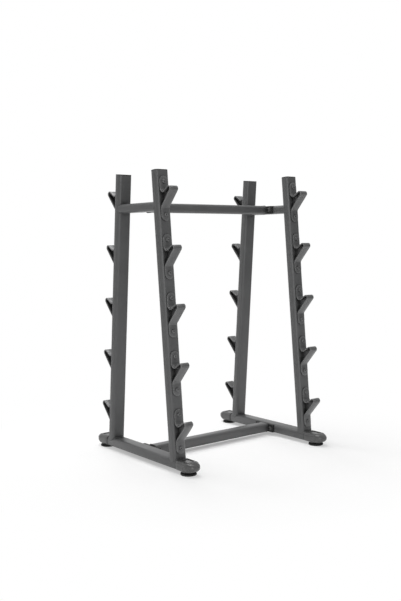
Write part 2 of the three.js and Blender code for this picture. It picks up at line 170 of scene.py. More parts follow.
# Places and sizes read from the frame
rail_low, rail_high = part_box("base_rail_right")
brace_low, brace_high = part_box("side_brace_right")
cap_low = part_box("rail_cap_right_front")[0]
foot_low, foot_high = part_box("foot_right_front")
saddle_low, saddle_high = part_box("saddle_bottom_left")
bolt_low, bolt_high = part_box("saddle_bolt_bottom_left_a")
SIDE_X = (rail_low.x + rail_high.x) / 2
TUBE_WIDTH = rail_high.x - rail_low.x
TUBE_DEPTH = rail_high.z - rail_low.z
RAIL_Z = (rail_low.z + rail_high.z) / 2
RAIL_END_Y = rail_high.y
BRACE_Z = (brace_low.z + brace_high.z) / 2
BRACE_HEIGHT = brace_high.z - brace_low.z
CAP_NOSE_Y = -cap_low.y
FOOT_Y = -(foot_low.y + foot_high.y) / 2
SADDLE_LENGTH = saddle_high.y - saddle_low.y
SADDLE_HEIGHT = saddle_high.z - saddle_low.z
BOLT_Y = -(bolt_low.y + bolt_high.y) / 2
UPRIGHT_TOP = HEIGHT / math.cos(LEAN)
HOOK_PITCH = (HEIGHT - HIGHEST_HOOK_BELOW_TOP - LOWEST_HOOK_Z) / (HOOKS_PER_UPRIGHT - 1)

SIDES = {"left": -SIDE_X, "right": SIDE_X}
ENDS = {"front": 0.0, "rear": math.pi}

# Turns that lay what is made along +Z along Y or X
ALONG_Y = Matrix.Rotation(math.radians(90), 4, "X")
ALONG_X = Matrix(((0, 0, 1, 0), (1, 0, 0, 0), (0, 1, 0, 0), (0, 0, 0, 1)))


# Node groups for the finishes

def new_group(name, inputs, outputs):
    """An empty shader group; inputs maps a name to its default, and all its sockets are numbers."""
    group = bpy.data.node_groups.new(name, "ShaderNodeTree")
    for label, default in inputs.items():
        socket = group.interface.new_socket(label, in_out="INPUT", socket_type="NodeSocketFloat")
        socket.default_value = default
    for label in outputs:
        group.interface.new_socket(label, in_out="OUTPUT", socket_type="NodeSocketFloat")
    return group


def node(tree, kind, **values):
    """A node with some of its properties and unlinked inputs set."""
    made = tree.nodes.new(kind)
    for key, value in values.items():
        if key in made.inputs:
            made.inputs[key].default_value = value
        else:
            setattr(made, key, value)
    return made


def math_node(tree, operation, *values, clamp=False):
    """The result of a Math node whose inputs are sockets or numbers."""
    made = node(tree, "ShaderNodeMath", operation=operation, use_clamp=clamp)
    for slot, value in zip(made.inputs, values):
        if isinstance(value, bpy.types.NodeSocket):
            tree.links.new(value, slot)
        else:
            slot.default_value = value
    return made.outputs[0]


def mapped(tree, value, span, results):
    """The result of a clamped Map Range node, which takes a span of values to a span of results."""
    limits = {"From Min": span[0], "From Max": span[1], "To Min": results[0], "To Max": results[1]}
    made = node(tree, "ShaderNodeMapRange", **limits)
    tree.links.new(value, made.inputs["Value"])
    return made.outputs["Result"]


def build_coat_grain():
    """Fine pebbled skin with a slow drift of tone and gloss, as powder coat and moulded plastic have."""
    noise_span = (0.3, 0.7)
    pebble_share = 0.35
    tone_swing = 0.07
    gloss_swing = 0.05
    group = new_group("coat_grain", {"Grain Scale": 900.0, "Drift Scale": 9.0}, ("Height", "Tone", "Gloss"))
    inward = group.nodes.new("NodeGroupInput")
    outward = group.nodes.new("NodeGroupOutput")
    place = group.nodes.new("ShaderNodeTexCoord").outputs["Object"]
    pebble = node(group, "ShaderNodeTexNoise", Detail=2.0, Roughness=0.6)
    drift = node(group, "ShaderNodeTexNoise", Detail=3.0, Roughness=0.55)
    for texture, size in ((pebble, "Grain Scale"), (drift, "Drift Scale")):
        group.links.new(place, texture.inputs["Vector"])
        group.links.new(inward.outputs[size], texture.inputs["Scale"])
    calmed = math_node(group, "MULTIPLY_ADD", pebble.outputs["Fac"], pebble_share, (1 - pebble_share) / 2)
    mixed = math_node(group, "MULTIPLY", calmed, drift.outputs["Fac"])
    # Each noise averages a half, so doubling their product keeps that middle
    spread = math_node(group, "MULTIPLY", mixed, 2.0)
    tone = mapped(group, spread, noise_span, (1 - tone_swing, 1 + tone_swing))
    gloss = mapped(group, drift.outputs["Fac"], noise_span, (-gloss_swing, gloss_swing))
    group.links.new(pebble.outputs["Fac"], outward.inputs["Height"])
    group.links.new(tone, outward.inputs["Tone"])
    group.links.new(gloss, outward.inputs["Gloss"])
    return group


def build_edge_wear_and_highlight():
    """Mask of worn edges, which also serves as a painted edge highlight: where the rounded normal parts from
    the true one, broken up by noise.
    """
    gain = 5.0
    group = new_group("edge_wear_and_highlight", {"Reach": 1.2 * MM, "Strength": 1.0}, ("Mask",))
    inward = group.nodes.new("NodeGroupInput")
    outward = group.nodes.new("NodeGroupOutput")
    rounded = node(group, "ShaderNodeBevel", samples=4)
    true_normal = group.nodes.new("ShaderNodeNewGeometry").outputs["True Normal"]
    facing = node(group, "ShaderNodeVectorMath", operation="DOT_PRODUCT")
    place = group.nodes.new("ShaderNodeTexCoord").outputs["Object"]
    breakup = node(group, "ShaderNodeTexNoise", Scale=140.0, Detail=3.0)
    group.links.new(inward.outputs["Reach"], rounded.inputs["Radius"])
    group.links.new(rounded.outputs["Normal"], facing.inputs[0])
    group.links.new(true_normal, facing.inputs[1])
    group.links.new(place, breakup.inputs["Vector"])
    edge = math_node(group, "SUBTRACT", 1.0, facing.outputs["Value"])
    strong = math_node(group, "MULTIPLY", edge, gain)
    patchy = math_node(group, "MULTIPLY", strong, breakup.outputs["Fac"])
    mask = math_node(group, "MULTIPLY", patchy, inward.outputs["Strength"], clamp=True)
    group.links.new(mask, outward.inputs["Mask"])
    return group


def build_painted_crevice_shade():
    """Painted shade: the share of the colour left in narrow gaps, darker the less open they are."""
    darkest = 0.2
    openness_span = (0.35, 0.9)
    group = new_group("painted_crevice_shade", {"Reach": 30.0 * MM, "Darkest": darkest}, ("Shade",))
    inward = group.nodes.new("NodeGroupInput")
    outward = group.nodes.new("NodeGroupOutput")
    openness = node(group, "ShaderNodeAmbientOcclusion", samples=6)
    group.links.new(inward.outputs["Reach"], openness.inputs["Distance"])
    # painted shade: the less open a spot is, the darker its colour
    shade = mapped(group, openness.outputs["AO"], openness_span, (darkest, 1.0))
    group.links.new(inward.outputs["Darkest"], shade.node.inputs["To Min"])
    group.links.new(shade, outward.inputs["Shade"])
    return group


coat_grain = build_coat_grain()
edge_wear_and_highlight = build_edge_wear_and_highlight()
painted_crevice_shade = build_painted_crevice_shade()


def group_node(tree, group, **values):
    """A node group placed in a material, with its own values; underscores stand for blanks."""
    made = tree.nodes.new("ShaderNodeGroup")
    made.node_tree = group
    for key, value in values.items():
        made.inputs[key.replace("_", " ")].default_value = value
    return made


def coated(name, colour, wear_and_highlight_colour, roughness, grain, wear_and_highlight_strength, metallic=0.0, wear_and_highlight_reach=1.2 * MM, shine=0.5):
    """A coated or moulded finish: grain bump, drifting tone and gloss, edges lightened by wear and painted
    highlight, and painted shade in crevices.

    Grain is the pebbles' scale and height, and shine is how strongly the finish mirrors.
    """
    material = bpy.data.materials.new(name)
    material.use_nodes = True
    tree = material.node_tree
    shader = tree.nodes["Principled BSDF"]
    shader.inputs["Metallic"].default_value = metallic
    shader.inputs["Specular IOR Level"].default_value = shine
    grain_scale, grain_height = grain
    skin = group_node(tree, coat_grain, Grain_Scale=grain_scale)
    wear_and_highlight_mask = group_node(tree, edge_wear_and_highlight, Strength=wear_and_highlight_strength, Reach=wear_and_highlight_reach)
    painted_shade = group_node(tree, painted_crevice_shade)
    tint = node(tree, "ShaderNodeMix", data_type="RGBA")
    tint.inputs["A"].default_value = (*colour, 1.0)
    tint.inputs["B"].default_value = (*wear_and_highlight_colour, 1.0)
    # the edge mask lightens edges: some wear, and painted highlight where it is strong
    tree.links.new(wear_and_highlight_mask.outputs["Mask"], tint.inputs["Factor"])
    toned_and_shaded = node(tree, "ShaderNodeVectorMath", operation="SCALE")
    tree.links.new(tint.outputs["Result"], toned_and_shaded.inputs[0])
    # drifting tone times the painted crevice shade darkens the base colour where shade falls
    tone = math_node(tree, "MULTIPLY", skin.outputs["Tone"], painted_shade.outputs["Shade"])
    tree.links.new(tone, toned_and_shaded.inputs["Scale"])
    tree.links.new(toned_and_shaded.outputs["Vector"], shader.inputs["Base Color"])
    rough = math_node(tree, "ADD", skin.outputs["Gloss"], roughness)
    tree.links.new(rough, shader.inputs["Roughness"])
    bump = node(tree, "ShaderNodeBump", Strength=0.5, Distance=grain_height)
    tree.links.new(skin.outputs["Height"], bump.inputs["Height"])
    tree.links.new(bump.outputs["Normal"], shader.inputs["Normal"])
    return material


def grey(level, warmth=0.0):
    """A linear grey, a little warmer or cooler."""
    return (level * (1 + warmth), level, level * (1 - warmth))


FINISHES = {
    "frame_coat": coated(
        "charcoal_powder_coat", grey(0.105, -0.01), grey(0.2),
        roughness=0.4, metallic=0.05, grain=(700.0, 0.05 * MM), wear_and_highlight_strength=0.5),
    # The hooks' wide, strong edge lightening is mostly a painted highlight along the strap edges.
    "hook_coat": coated(
        "hook_powder_coat", grey(0.115, -0.01), grey(0.36),
        roughness=0.34, metallic=0.25, grain=(700.0, 0.05 * MM), wear_and_highlight_strength=2.4, wear_and_highlight_reach=3.0 * MM),
    "black_casting": coated(
        "black_cast_coat", grey(0.042), grey(0.07),
        roughness=0.6, grain=(500.0, 0.12 * MM), wear_and_highlight_strength=0.6, shine=0.1),
    "lid_plastic": coated(
        "black_lid_plastic", grey(0.014), grey(0.03),
        roughness=0.45, grain=(1100.0, 0.03 * MM), wear_and_highlight_strength=0.3, shine=0.15),
    # The caps' edge lightening partly paints a highlight round the recess rim.
    "cap_plastic": coated(
        "charcoal_cap_plastic", grey(0.077), grey(0.2),
        roughness=0.3, grain=(1000.0, 0.04 * MM), wear_and_highlight_strength=1.0, shine=0.65),
    "foot_rubber": coated(
        "black_foot_rubber", grey(0.013), grey(0.025),
        roughness=0.75, grain=(600.0, 0.08 * MM), wear_and_highlight_strength=0.3),
    "bolt_steel": coated(
        "dark_zinc_steel", grey(0.11), grey(0.3),
        roughness=0.38, metallic=0.75, grain=(1500.0, 0.02 * MM), wear_and_highlight_strength=0.8),
}


# Making and placing pieces

def add_piece(name, bm, slot, place, nodes=()):
    """Turns a finished bmesh into a piece on the rack, with its place in its mesh."""
    bmesh.ops.remove_doubles(bm, verts=bm.verts[:], dist=SAME_POINT)
    bmesh.ops.recalc_face_normals(bm, faces=bm.faces[:])
    mesh = bpy.data.meshes.new(name)
    bm.to_mesh(mesh)
    bm.free()
    mesh.transform(place)
    mesh.polygons.foreach_set("use_smooth", [True] * len(mesh.polygons))
    mesh.set_sharp_from_angle(angle=math.radians(SMOOTH_BELOW_DEGREES))
    mesh.materials.append(FINISHES[slot])
    made = bpy.data.objects.new(name, mesh)
    bpy.context.scene.collection.objects.link(made)
    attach(made, "root")
    if nodes:
        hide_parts(*nodes)


def add_body(bm, other, place):
    """Moves a second body to its place and adds it to the first."""
    bmesh.ops.transform(other, matrix=place, verts=other.verts[:])
    carried = bpy.data.meshes.new("carried")
    other.to_mesh(carried)
    other.free()
    bm.from_mesh(carried)
    bpy.data.meshes.remove(carried)


def side_place(x, turn=0.0):
    """Place of a side frame, turned half round where its inner side or its front is the other way."""
    return Matrix.Translation((x, 0, 0)) @ Matrix.Rotation(turn, 4, "Z")


def upright_place(x, turn):
    """Place of an upright: its own frame starts at the foot and leans inwards."""
    stand = Matrix.Translation((0, -UPRIGHT_FOOT_Y, 0)) @ Matrix.Rotation(-LEAN, 4, "X")
    return side_place(x, turn) @ stand


def moved(bm, geometry, by):
    """Moves the vertices among some geometry."""
    points = [item for item in geometry if isinstance(item, bmesh.types.BMVert)]
    bmesh.ops.translate(bm, verts=points, vec=by)


def faces_in(geometry):
    """The faces among some geometry."""
    return [item for item in geometry if isinstance(item, bmesh.types.BMFace)]


def drawn_out(bm, faces, by):
    """Extrudes faces into a closed body, whose far faces it returns."""
    result = bmesh.ops.extrude_face_region(bm, geom=faces)["geom"]
    moved(bm, result, by)
    return faces_in(result)


def extruded(bm, faces, by):
    """Carries a body's faces further, which leaves no wall inside it, and returns them."""
    lead = drawn_out(bm, faces, by)
    bmesh.ops.delete(bm, geom=faces, context="FACES_ONLY")
    return lead


def rounded_face(width, depth, corner, steps=SECTION_STEPS):
    """A bmesh holding one rounded rectangle in the XY plane."""
    bm = bmesh.new()
    bmesh.ops.create_grid(bm, x_segments=1, y_segments=1, size=0.5)
    bmesh.ops.scale(bm, verts=bm.verts[:], vec=(width, depth, 1))
    bmesh.ops.bevel(bm, geom=bm.verts[:], offset=corner, segments=steps, profile=0.5,
                    affect="VERTICES", material=-1)
    return bm


def solid_bar(width, depth, corner, length):
    """A closed bar with rounded corners along +Z, centred on its length."""
    bm = rounded_face(width, depth, corner)
    drawn_out(bm, bm.faces[:], (0, 0, length))
    bmesh.ops.translate(bm, verts=bm.verts[:], vec=(0, 0, -length / 2))
    return bm


def hollow_bar(width, depth, corner, length):
    """A tube with rounded corners along +Z: the bar's ends are inset by the wall and bridged."""
    bm = solid_bar(width, depth, corner, length)
    bm.normal_update()
    ends = [face for face in bm.faces if abs(face.normal.z) > FACING]
    bmesh.ops.inset_individual(bm, faces=ends, thickness=TUBE_WALL, use_even_offset=True)
    mouths = [edge for face in ends for edge in face.edges]
    bmesh.ops.delete(bm, geom=ends, context="FACES_ONLY")
    bmesh.ops.bridge_loops(bm, edges=mouths)
    return bm


def turned_body(profile, steps, closed=False):
    """A body turned about +Z from an outline in millimetres, closed or ending on the axis."""
    bm = bmesh.new()
    chain = [bm.verts.new((radius * MM, 0, z * MM)) for radius, z in profile]
    pairs = list(zip(chain, chain[1:]))
    if closed:
        pairs.append((chain[-1], chain[0]))
    edges = [bm.edges.new(pair) for pair in pairs]
    bmesh.ops.spin(bm, geom=chain + edges, cent=(0, 0, 0), axis=(0, 0, 1), dvec=(0, 0, 0),
                   angle=math.tau, steps=steps, use_merge=True, use_duplicate=False)
    bmesh.ops.remove_doubles(bm, verts=bm.verts[:], dist=SAME_POINT)
    return bm


def soften(bm, edges, width, segments=2):
    """Rounds some edges."""
    bmesh.ops.bevel(bm, geom=edges, offset=width, segments=segments, profile=0.5,
                    affect="EDGES", material=-1, clamp_overlap=True)


def sharp_edges(bm, over=50):
    """Edges whose two faces meet at more than an angle in degrees."""
    bm.normal_update()
    limit = math.radians(over)
    return [edge for edge in bm.edges if len(edge.link_faces) == 2 and edge.calc_face_angle(0) > limit]


# Tubes

def half_depth(x):
    """Half the tube's depth at a distance x from its middle, out on its rounded side."""
    past = abs(x) - (TUBE_WIDTH / 2 - TUBE_CORNER)
    if past <= 0:
        return TUBE_DEPTH / 2
    return TUBE_DEPTH / 2 - TUBE_CORNER + math.sqrt(max(TUBE_CORNER * TUBE_CORNER - past * past, 0.0))


def upright_end(x, y):
    """How far up its own length the upright meets the rail's rounded top."""
    return (RAIL_Z + half_depth(x) + y * math.sin(LEAN)) / math.cos(LEAN)


def brace_end(x, z):
    """Where the brace's end meets the upright's rounded inner side."""
    return UPRIGHT_FOOT_Y - z * math.tan(LEAN) - half_depth(x) / math.cos(LEAN)


def make_rail(side, x):
    """The base rail, an open tube along Y."""
    bm = hollow_bar(TUBE_WIDTH, TUBE_DEPTH, TUBE_CORNER, 2 * RAIL_END_Y)
    rims = [edge for edge in sharp_edges(bm, over=80)
            if abs(abs(edge.verts[0].co.z) - RAIL_END_Y) < SEAT_GAP]
    soften(bm, rims, RAIL_MOUTH_EDGE)
    place = side_place(x) @ Matrix.Translation((0, 0, RAIL_Z)) @ ALONG_Y
    add_piece(f"rail_tube_{side}", bm, "frame_coat", place, [f"base_rail_{side}"])


def make_upright(side, x, end, turn):
    """An upright tube, its lower end coped over the rail."""
    length = UPRIGHT_TOP - LID_THICKNESS
    bm = hollow_bar(TUBE_WIDTH, TUBE_DEPTH, TUBE_CORNER, length)
    bmesh.ops.translate(bm, verts=bm.verts[:], vec=(0, 0, length / 2))
    for vert in bm.verts:
        if vert.co.z < length / 2:
            vert.co.z = upright_end(vert.co.x, vert.co.y)
    add_piece(f"post_{side}_{end}", bm, "frame_coat", upright_place(x, turn), [f"upright_{side}_{end}"])


def make_brace(side, x):
    """The side brace, its ends coped round both uprights."""
    bm = hollow_bar(TUBE_WIDTH, BRACE_HEIGHT, TUBE_CORNER, 2 * UPRIGHT_TOP_Y)
    for vert in bm.verts:
        reach = brace_end(vert.co.x, BRACE_Z + vert.co.y)
        vert.co.z = math.copysign(reach, vert.co.z)
    place = side_place(x) @ Matrix.Translation((0, 0, BRACE_Z)) @ ALONG_Y
    add_piece(f"brace_tube_{side}", bm, "frame_coat", place, [f"side_brace_{side}"])


def make_beam(level, z):
    """A cross beam between two saddles."""
    low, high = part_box(f"{level}_beam")
    bm = hollow_bar(high.y - low.y, high.z - low.z, BEAM_CORNER, high.x - low.x)
    place = Matrix.Translation((0, 0, z)) @ ALONG_X
    add_piece(f"{level}_cross_tube", bm, "frame_coat", place, [f"{level}_beam"])


# Weld beads

def add_bead(name, seam, radius, shares, place):
    """A closed, lightly rippled weld bead along a seam; shares holds each point's part of its radius."""
    curve = bpy.data.curves.new(name, "CURVE")
    curve.dimensions = "3D"
    curve.bevel_depth = radius
    curve.bevel_resolution = 2
    spline = curve.splines.new("POLY")
    spline.points.add(len(seam) - 1)
    spline.use_cyclic_u = True
    for k, (point, spot, share) in enumerate(zip(spline.points, seam, shares)):
        point.co = (*spot, 1.0)
        point.radius = share * (1 + RIPPLE_SHARE * math.sin(k * RIPPLE_STEP))
    holder = bpy.data.objects.new(name, curve)
    bpy.context.scene.collection.objects.link(holder)
    bpy.context.view_layer.update()
    mesh = bpy.data.meshes.new_from_object(holder.evaluated_get(bpy.context.evaluated_depsgraph_get()))
    bpy.data.objects.remove(holder)
    bm = bmesh.new()
    bm.from_mesh(mesh)
    bpy.data.meshes.remove(mesh)
    add_piece(name, bm, "frame_coat", place)


def section_points(width, depth, corner):
    """Corner points of a rounded section, in order round it."""
    bm = rounded_face(width, depth, corner, BEAD_STEPS)
    points = [loop.vert.co.copy() for loop in bm.faces[:][0].loops]
    bm.free()
    return points


def coped_shares(points):
    """Bead shares along a coped end: full on the flat, less towards the sides where both tubes are flush."""
    return [half_depth(point.x) / (TUBE_DEPTH / 2) for point in points]


def make_foot_bead(side, x, end, turn):
    """The weld between an upright and its rail."""
    points = section_points(TUBE_WIDTH, TUBE_DEPTH, TUBE_CORNER)
    seam = [Vector((point.x, point.y, upright_end(point.x, point.y))) for point in points]
    place = upright_place(x, turn)
    add_bead(f"foot_weld_{side}_{end}", seam, FOOT_BEAD_RADIUS, coped_shares(points), place)


def make_brace_bead(side, x, end, turn):
    """The weld between a brace and its upright."""
    points = section_points(TUBE_WIDTH, BRACE_HEIGHT, TUBE_CORNER)
    seam = [Vector((point.x, -brace_end(point.x, BRACE_Z + point.y), BRACE_Z + point.y)) for point in points]
    place = side_place(x, turn)
    add_bead(f"brace_weld_{side}_{end}", seam, BRACE_BEAD_RADIUS, coped_shares(points), place)


def make_beam_bead(level, z, side, turn):
    """The weld between a beam and its saddle."""
    low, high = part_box(f"{level}_beam")
    points = section_points(high.y - low.y, high.z - low.z, BEAM_CORNER)
    seam = [Vector((low.x, point.x, z + point.y)) for point in points]
    place = Matrix.Rotation(turn, 4, "Z")
    add_bead(f"{level}_beam_weld_{side}", seam, BEAM_BEAD_RADIUS, [1.0] * len(seam), place)


# Joint saddles

def make_saddle(level, side, x, turn, z, tube_height):
    """A plate hollowed to the tube's shoulder: half its profile is drawn, mirrored, filled and extruded."""
    bm = bmesh.new()
    top = SADDLE_HEIGHT / 2
    radius = TUBE_CORNER + SEAT_GAP
    centre = Vector((TUBE_WIDTH / 2 - TUBE_CORNER, 0, tube_height / 2 - TUBE_CORNER))
    lip_x = TUBE_WIDTH / 2 - SADDLE_LIP
    wrap = min(math.acos((lip_x - centre.x) / radius), math.asin((top - centre.z) / radius))
    start = bm.verts.new(centre + Vector((radius, 0, 0)))
    bmesh.ops.spin(bm, geom=[start], cent=centre, axis=(0, 1, 0), dvec=(0, 0, 0),
                   angle=-wrap, steps=SECTION_STEPS, use_duplicate=False)
    lip = max(bm.verts, key=lambda vert: vert.co.z)
    outer_x = TUBE_WIDTH / 2 + SADDLE_PLATE
    back = bm.verts.new((lip.co.x, 0, top))
    front = bm.verts.new((outer_x, 0, top))
    middle = bm.verts.new((outer_x, 0, 0))
    inner = bm.verts.new((TUBE_WIDTH / 2 + SEAT_GAP, 0, 0))
    for pair in ((lip, back), (back, front), (front, middle), (inner, start)):
        bm.edges.new(pair)
    bmesh.ops.mirror(bm, geom=bm.verts[:] + bm.edges[:], axis="Z", merge_dist=CLOSE)
    bmesh.ops.remove_doubles(bm, verts=bm.verts[:], dist=CLOSE)
    bmesh.ops.contextual_create(bm, geom=bm.edges[:])
    drawn_out(bm, bm.faces[:], (0, SADDLE_LENGTH, 0))
    bmesh.ops.translate(bm, verts=bm.verts[:], vec=(0, -SADDLE_LENGTH / 2, 0))
    bm.normal_update()
    corners = [edge for edge in bm.edges
               if abs(edge.verts[0].co.y - edge.verts[1].co.y) < MM
               and min(vert.co.x for vert in edge.verts) >= lip_x - MM
               and all(abs(abs(vert.co.z) - top) < MM for vert in edge.verts)
               and abs(edge.verts[0].co.x - edge.verts[1].co.x) > MM]
    soften(bm, corners, SADDLE_CORNER, segments=3)
    rim = [edge for edge in sharp_edges(bm) if min(vert.co.x for vert in edge.verts) > outer_x - MM]
    soften(bm, rim, SADDLE_EDGE, segments=3)
    place = side_place(x, turn) @ Matrix.Translation((0, 0, z))
    add_piece(f"{level}_joint_saddle_{side}", bm, "black_casting", place, [f"saddle_{level}_{side}"])


# Bolts

def socket_bolt(profile):
    """A turned bolt about +Z with a hexagon socket in its head."""
    bm = turned_body(profile, BOLT_STEPS)
    top = profile[0][1] * MM
    ring = [edge for edge in bm.edges if edge.is_boundary
            and all(abs(vert.co.z - top) < CLOSE for vert in edge.verts)]
    socket = bmesh.ops.create_circle(bm, cap_ends=False, segments=6, radius=SOCKET_RADIUS,
                                     matrix=Matrix.Translation((0, 0, top)))["verts"]
    hexagon = list({edge for vert in socket for edge in vert.link_edges})
    bmesh.ops.subdivide_edges(bm, edges=hexagon, cuts=BOLT_STEPS // 6 - 1)
    hexagon = [edge for edge in bm.edges if edge.is_wire]
    bmesh.ops.bridge_loops(bm, edges=ring + hexagon)
    walls = bmesh.ops.extrude_edge_only(bm, edges=hexagon)["geom"]
    moved(bm, walls, (0, 0, -SOCKET_DEPTH))
    floor = [item for item in walls if isinstance(item, bmesh.types.BMEdge)]
    bmesh.ops.contextual_create(bm, geom=floor)
    return bm


def make_saddle_bolt(level, side, letter, x, turn, y, z):
    """A bolt with its washer, through the saddle into the tube."""
    seat = Matrix.Translation((TUBE_WIDTH / 2 + SADDLE_PLATE + SEAT_GAP, y, z))
    place = side_place(x, turn) @ seat @ ALONG_X
    add_piece(f"{level}_saddle_bolt_{side}_{letter}", socket_bolt(SADDLE_BOLT_PROFILE), "bolt_steel", place,
              [f"saddle_bolt_{level}_{side}_{letter}"])


def make_foot_screw(side, x, end, turn):
    """The screw that holds a foot, its head sunk in the rubber."""
    down = Matrix.Rotation(math.pi, 4, "X")
    place = side_place(x, turn) @ Matrix.Translation((0, -FOOT_Y, FOOT_SCREW_SUNK)) @ down
    add_piece(f"foot_bolt_{side}_{end}", socket_bolt(FOOT_SCREW_PROFILE), "bolt_steel", place,
              [f"foot_screw_{side}_{end}"])


# Bar hooks

def crossing(start, finish, radius_sum, swing_sign):
    """Direction and length of the straight strap between two bends that turn opposite ways."""
    gap = finish - start
    reach = gap.length
    angle = math.atan2(gap.y, gap.x) + swing_sign * math.asin(radius_sum / reach)
    return angle, math.sqrt(reach * reach - radius_sum * radius_sum)


RISE, RISE_LENGTH = crossing(VALLEY_CENTRE, FOLD_CENTRE, VALLEY_RADIUS + FOLD_RADIUS, 1)
DROP, DROP_LENGTH = crossing(FOLD_CENTRE, BEND_CENTRE, FOLD_RADIUS + BEND_RADIUS, -1)


def bent(bm, faces, centre, angle, steps):
    """Carries the strap's end face round a bend; angles turn from u towards v."""
    geometry = list(faces)
    geometry += list({edge for face in faces for edge in face.edges})
    geometry += list({vert for face in faces for vert in face.verts})
    last = bmesh.ops.spin(bm, geom=geometry, cent=(0, -centre.x, centre.y), axis=(1, 0, 0),
                          dvec=(0, 0, 0), angle=-angle, steps=steps, use_duplicate=False)["geom_last"]
    return faces_in(last)


def strap_body():
    """The strap, run from its top tab round the valley, the fold and the bend to its lower tab."""
    bm = bmesh.new()
    bmesh.ops.create_grid(bm, x_segments=1, y_segments=1, size=0.5)
    bmesh.ops.scale(bm, verts=bm.verts[:], vec=(STRAP_WIDTH, STRAP_THICKNESS, 1))
    bmesh.ops.translate(bm, verts=bm.verts[:], vec=(0, -STRAP_THICKNESS / 2, TAB_TOP_V))
    lead = drawn_out(bm, bm.faces[:], (0, 0, VALLEY_CENTRE.y - TAB_TOP_V))
    lead = bent(bm, lead, VALLEY_CENTRE, math.pi / 2 + RISE, VALLEY_STEPS)
    lead = extruded(bm, lead, Vector((0, -math.cos(RISE), math.sin(RISE))) * RISE_LENGTH)
    lead = bent(bm, lead, FOLD_CENTRE, DROP - RISE, FOLD_STEPS)
    lead = extruded(bm, lead, Vector((0, -math.cos(DROP), math.sin(DROP))) * DROP_LENGTH)
    lead = bent(bm, lead, BEND_CENTRE, -math.pi / 2 - DROP, BEND_STEPS)
    extruded(bm, lead, Vector((0, 0, TAB_BOTTOM_V - BEND_CENTRE.y)))
    bmesh.ops.remove_doubles(bm, verts=bm.verts[:], dist=CLOSE)
    bmesh.ops.recalc_face_normals(bm, faces=bm.faces[:])
    ends = (TAB_TOP_V, TAB_BOTTOM_V)
    corners = [edge for edge in bm.edges
               if any(all(abs(vert.co.z - v) < HAIR for vert in edge.verts) for v in ends)
               and abs(edge.verts[0].co.x - edge.verts[1].co.x) < HAIR]
    soften(bm, corners, STRAP_WIDTH / 2 - HAIR, TAB_STEPS)
    soften(bm, sharp_edges(bm), STRAP_EDGE)
    return bm


def beside_fold(angle, distance):
    """A point on the strap's middle line, on the straight that touches the fold."""
    out = Vector((math.cos(angle + math.pi / 2), math.sin(angle + math.pi / 2))) * FOLD_RADIUS
    return FOLD_CENTRE + out + Vector((math.cos(angle), math.sin(angle))) * distance


def web_body():
    """The gusset web: a plate between upright, valley and diagonal that stops short of the fold."""
    outline = [
        Vector((STRAP_THICKNESS / 2, BEND_CENTRE.y)),
        beside_fold(DROP, DROP_LENGTH),
        beside_fold(DROP, WEB_FOLD_RELIEF),
        beside_fold(RISE, -WEB_FOLD_RELIEF),
        VALLEY_CENTRE - Vector((0, VALLEY_RADIUS)),
        Vector((WEB_STAND_OFF, WEB_TOP_V)),
        Vector((WEB_STAND_OFF, BEND_CENTRE.y)),
    ]
    bm = bmesh.new()
    verts = [bm.verts.new((-WEB_THICKNESS / 2, -point.x, point.y)) for point in outline]
    bm.faces.new(verts)
    drawn_out(bm, bm.faces[:], (WEB_THICKNESS, 0, 0))
    bmesh.ops.recalc_face_normals(bm, faces=bm.faces[:])
    soften(bm, sharp_edges(bm), WEB_EDGE, segments=1)
    return bm


def hook_place(x, turn, level):
    """Place of a hook: on the upright's outer face, its own zero at the height of its seat."""
    up = (LOWEST_HOOK_Z + level * HOOK_PITCH) / math.cos(LEAN)
    return upright_place(x, turn) @ Matrix.Translation((0, -TUBE_DEPTH / 2 - SEAT_GAP, up))


def make_hook(side, x, end, turn, level):
    """A bar hook, its strap and web in one piece, with a bolt head on each tab."""
    label = f"{side}_{end}_{level + 1}"
    place = hook_place(x, turn, level)
    bm = strap_body()
    add_body(bm, web_body(), Matrix())
    add_piece(f"bar_hook_{label}", bm, "hook_coat", place, [f"hook_{label}"])
    for spot, v in (("upper", UPPER_BOLT_V), ("lower", LOWER_BOLT_V)):
        outwards = Matrix.Translation((0, -STRAP_THICKNESS, v)) @ Matrix.Rotation(math.pi / 2, 4, "X")
        bolt = socket_bolt(HOOK_BOLT_PROFILE)
        add_piece(f"hook_bolt_{label}_{spot}", bolt, "hook_coat", place @ outwards)


# Rail end caps, feet and lids

def largest_face(bm, direction):
    """The largest face that looks in a direction."""
    bm.normal_update()
    facing = [face for face in bm.faces if face.normal.dot(Vector(direction)) > FACING]
    return max(facing, key=lambda face: face.calc_area())


def rounder(verts, width, height):
    """Draws the corners of a section part of the way in to an ellipse of the same size."""
    for vert in verts:
        spread = math.hypot(vert.co.x * 2 / width, vert.co.y * 2 / height)
        pull = 1 - NOSE_ROUNDNESS + NOSE_ROUNDNESS / max(spread, 1.0)
        vert.co.x *= pull
        vert.co.y *= pull


def add_cap_nose(bm, lead, full_width, full_height):
    """Draws the cap in, ring by ring, to its blunt nose."""
    width, height, out = full_width, full_height, 0.0
    for ring in range(1, NOSE_RINGS + 1):
        angle = math.pi / 2 * ring / NOSE_RINGS
        drawn = 1 - math.cos(angle)
        next_width = full_width - 2 * (NOSE_SIDE_RADIUS + CAP_SWELL) * drawn
        next_height = full_height - 2 * (NOSE_EDGE_RADIUS + CAP_SWELL) * drawn
        next_out = NOSE_DEPTH * math.sin(angle)
        lead = extruded(bm, lead, (0, 0, next_out - out))
        bmesh.ops.scale(bm, verts=list(lead[0].verts), vec=(next_width / width, next_height / height, 1))
        width, height, out = next_width, next_height, next_out
        rounder(lead[0].verts, width, height)


def add_cap_neck(bm):
    """Narrows the cap at the seam, which leaves a dark groove between rail and cap."""
    back = largest_face(bm, (0, 0, -1))
    bmesh.ops.inset_individual(bm, faces=[back], thickness=NECK_INSET, use_even_offset=True)
    extruded(bm, [back], (0, 0, -NECK_LENGTH))


